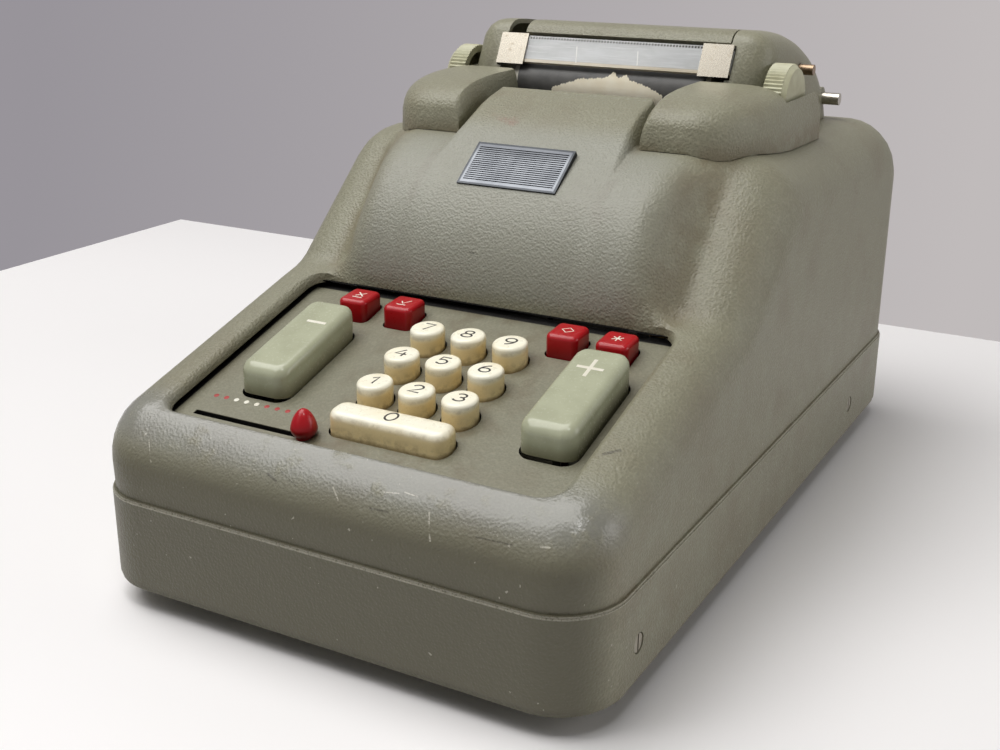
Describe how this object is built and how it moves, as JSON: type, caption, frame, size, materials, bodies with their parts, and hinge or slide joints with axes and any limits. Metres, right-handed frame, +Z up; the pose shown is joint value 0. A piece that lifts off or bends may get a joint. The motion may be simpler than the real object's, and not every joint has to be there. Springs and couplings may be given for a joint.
{
  "type": "electromechanical calculator",
  "caption": "Desk-top printing adding machine with a cast enamel case, digit keys, motor bars, a platen with knobs, a tear bar and a paper roll under a hinged cover.",
  "frame": {"origin": "middle of the footprint on the floor, under the four feet", "axes": "+Z up, the keyboard faces -Y, +X to the right of someone at the keyboard"},
  "size_m": [0.222, 0.378, 0.2113],
  "materials": {
    "hammered_enamel": "grey-green hammered enamel",
    "shoulder_enamel": "grey-green hammered enamel",
    "cap_enamel": "grey-green smooth enamel",
    "deck_enamel": "dark grey-green enamel",
    "cream_key": "worn gloss",
    "green_bar": "gloss",
    "red_key": "gloss",
    "foot_rubber": "matte",
    "platen_rubber": "satin",
    "ring_plastic": "matte",
    "knob_plastic": "satin",
    "plate_chrome": "ribbed and polished",
    "clear_acrylic": "clear",
    "black_bracket": "black lacquer",
    "screw_steel": "plated",
    "inlet_plastic": "moulded",
    "bright_steel": "turned",
    "frame_steel": "rolled",
    "lever_brass": "worn",
    "gear_brass": "cut",
    "motor_paint": "dark enamel",
    "paper": "paper",
    "spool_metal": "dark",
    "ribbon_cloth": "inked cloth"
  },
  "bodies": {
    "chassis": {"base_tray": "hammered_enamel", "top_cover": "hammered_enamel", "left_shoulder": "shoulder_enamel", "right_shoulder": "shoulder_enamel", "left_end_cap": "cap_enamel", "right_end_cap": "cap_enamel", "keyboard_plate": "deck_enamel", "rubber_feet": "foot_rubber", "name_plate": "plate_chrome", "tear_bar_clips": "plate_chrome", "tear_bar": "clear_acrylic", "tear_bar_brackets": "black_bracket", "case_screws": "screw_steel", "power_inlet": "inlet_plastic", "slide_rods": "bright_steel", "roll_spindle": "bright_steel", "cover_hinge_rod": "bright_steel", "spool_posts": "bright_steel", "sector_shaft": "bright_steel", "frame_ties": "bright_steel", "left_frame": "frame_steel", "right_frame": "frame_steel", "key_guide": "frame_steel", "motor": "motor_paint", "paper_strip": "paper", "ribbon": "ribbon_cloth"},
    "key_0_body": {"key_0": "cream_key"},
    "key_1_body": {"key_1": "cream_key"},
    "key_2_body": {"key_2": "cream_key"},
    "key_3_body": {"key_3": "cream_key"},
    "key_4_body": {"key_4": "cream_key"},
    "key_5_body": {"key_5": "cream_key"},
    "key_6_body": {"key_6": "cream_key"},
    "key_7_body": {"key_7": "cream_key"},
    "key_8_body": {"key_8": "cream_key"},
    "key_9_body": {"key_9": "cream_key"},
    "minus_bar_body": {"minus_bar": "green_bar"},
    "plus_bar_body": {"plus_bar": "green_bar"},
    "non_add_key_body": {"non_add_key": "red_key"},
    "repeat_key_body": {"repeat_key": "red_key"},
    "subtotal_key_body": {"subtotal_key": "red_key"},
    "total_key_body": {"total_key": "red_key"},
    "column_lever": {"column_knob": "red_key", "column_slide": "frame_steel"},
    "platen_unit": {"platen": "platen_rubber", "platen_rings": "ring_plastic", "platen_axle": "bright_steel", "left_platen_knob": "knob_plastic", "right_platen_knob": "knob_plastic"},
    "roll_lid": {"roll_cover": "hammered_enamel"},
    "paper_release": {"release_lever": "lever_brass"},
    "left_spool": {"left_ribbon_spool": "spool_metal"},
    "right_spool": {"right_ribbon_spool": "spool_metal"},
    "main_drive": {"main_shaft": "bright_steel", "drive_gear": "gear_brass"},
    "pinion": {"motor_pinion": "gear_brass"},
    "adder": {"number_wheels": "gear_brass"},
    "type_bars": {"type_sectors": "frame_steel"},
    "roll": {"paper_roll": "paper"}
  },
  "joints": [
    {"name": "key_0_press", "type": "slide", "parent": "chassis", "child": "key_0_body", "axis": [0, 0, 1], "range_m": [-0.004, 0], "stiffness_N_per_m": 150, "springref_m": 0.004},
    {"name": "key_1_press", "type": "slide", "parent": "chassis", "child": "key_1_body", "axis": [0, 0, 1], "range_m": [-0.004, 0], "stiffness_N_per_m": 150, "springref_m": 0.004},
    {"name": "key_2_press", "type": "slide", "parent": "chassis", "child": "key_2_body", "axis": [0, 0, 1], "range_m": [-0.004, 0], "stiffness_N_per_m": 150, "springref_m": 0.004},
    {"name": "key_3_press", "type": "slide", "parent": "chassis", "child": "key_3_body", "axis": [0, 0, 1], "range_m": [-0.004, 0], "stiffness_N_per_m": 150, "springref_m": 0.004},
    {"name": "key_4_press", "type": "slide", "parent": "chassis", "child": "key_4_body", "axis": [0, 0, 1], "range_m": [-0.004, 0], "stiffness_N_per_m": 150, "springref_m": 0.004},
    {"name": "key_5_press", "type": "slide", "parent": "chassis", "child": "key_5_body", "axis": [0, 0, 1], "range_m": [-0.004, 0], "stiffness_N_per_m": 150, "springref_m": 0.004},
    {"name": "key_6_press", "type": "slide", "parent": "chassis", "child": "key_6_body", "axis": [0, 0, 1], "range_m": [-0.004, 0], "stiffness_N_per_m": 150, "springref_m": 0.004},
    {"name": "key_7_press", "type": "slide", "parent": "chassis", "child": "key_7_body", "axis": [0, 0, 1], "range_m": [-0.004, 0], "stiffness_N_per_m": 150, "springref_m": 0.004},
    {"name": "key_8_press", "type": "slide", "parent": "chassis", "child": "key_8_body", "axis": [0, 0, 1], "range_m": [-0.004, 0], "stiffness_N_per_m": 150, "springref_m": 0.004},
    {"name": "key_9_press", "type": "slide", "parent": "chassis", "child": "key_9_body", "axis": [0, 0, 1], "range_m": [-0.004, 0], "stiffness_N_per_m": 150, "springref_m": 0.004},
    {"name": "minus_bar_press", "type": "slide", "parent": "chassis", "child": "minus_bar_body", "axis": [0, 0, 1], "range_m": [-0.004, 0], "stiffness_N_per_m": 150, "springref_m": 0.004},
    {"name": "plus_bar_press", "type": "slide", "parent": "chassis", "child": "plus_bar_body", "axis": [0, 0, 1], "range_m": [-0.004, 0], "stiffness_N_per_m": 150, "springref_m": 0.004},
    {"name": "non_add_key_press", "type": "slide", "parent": "chassis", "child": "non_add_key_body", "axis": [0, 0, 1], "range_m": [-0.004, 0], "stiffness_N_per_m": 150, "springref_m": 0.004},
    {"name": "repeat_key_press", "type": "slide", "parent": "chassis", "child": "repeat_key_body", "axis": [0, 0, 1], "range_m": [-0.004, 0], "stiffness_N_per_m": 150, "springref_m": 0.004},
    {"name": "subtotal_key_press", "type": "slide", "parent": "chassis", "child": "subtotal_key_body", "axis": [0, 0, 1], "range_m": [-0.004, 0], "stiffness_N_per_m": 150, "springref_m": 0.004},
    {"name": "total_key_press", "type": "slide", "parent": "chassis", "child": "total_key_body", "axis": [0, 0, 1], "range_m": [-0.004, 0], "stiffness_N_per_m": 150, "springref_m": 0.004},
    {"name": "column_lever_slide", "type": "slide", "parent": "chassis", "child": "column_lever", "axis": [1, 0, 0], "range_m": [-0.0515, 0]},
    {"name": "platen_turn", "type": "hinge", "parent": "chassis", "child": "platen_unit", "pos_m": [0, 0.061, 0.182], "axis": [1, 0, 0], "continuous": true},
    {"name": "roll_lid_hinge", "type": "hinge", "parent": "chassis", "child": "roll_lid", "pos_m": [0, 0.1477, 0.1725], "axis": [-1, 0, 0], "range_deg": [0, 80]},
    {"name": "paper_release_swing", "type": "hinge", "parent": "chassis", "child": "paper_release", "pos_m": [0, 0.061, 0.182], "axis": [-1, 0, 0], "range_deg": [0, 10]},
    {"name": "left_spool_turn", "type": "hinge", "parent": "chassis", "child": "left_spool", "pos_m": [-0.066, 0.0295, 0.168], "axis": [0, 0, 1], "continuous": true},
    {"name": "right_spool_turn", "type": "hinge", "parent": "chassis", "child": "right_spool", "pos_m": [0.066, 0.0295, 0.168], "axis": [0, 0, 1], "continuous": true},
    {"name": "main_shaft_turn", "type": "hinge", "parent": "chassis", "child": "main_drive", "pos_m": [0, 0.0667, 0.056], "axis": [1, 0, 0], "continuous": true},
    {"name": "motor_pinion_turn", "type": "hinge", "parent": "chassis", "child": "pinion", "pos_m": [0, 0.1147, 0.056], "axis": [1, 0, 0], "continuous": true},
    {"name": "number_wheels_turn", "type": "hinge", "parent": "chassis", "child": "adder", "pos_m": [0, -0.019, 0.064], "axis": [1, 0, 0], "continuous": true},
    {"name": "type_bars_strike", "type": "hinge", "parent": "chassis", "child": "type_bars", "pos_m": [0, -0.001, 0.1115], "axis": [-1, 0, 0], "range_deg": [0, 8]},
    {"name": "paper_roll_turn", "type": "hinge", "parent": "chassis", "child": "roll", "pos_m": [0, 0.11335, 0.171], "axis": [1, 0, 0], "continuous": true}
  ],
  "couplings": [
    {"joint": "motor_pinion_turn", "follows": "main_shaft_turn", "ratio": -3},
    {"joint": "paper_roll_turn", "follows": "platen_turn", "ratio": 0.52},
    {"joint": "right_spool_turn", "follows": "left_spool_turn", "ratio": 1}
  ]
}
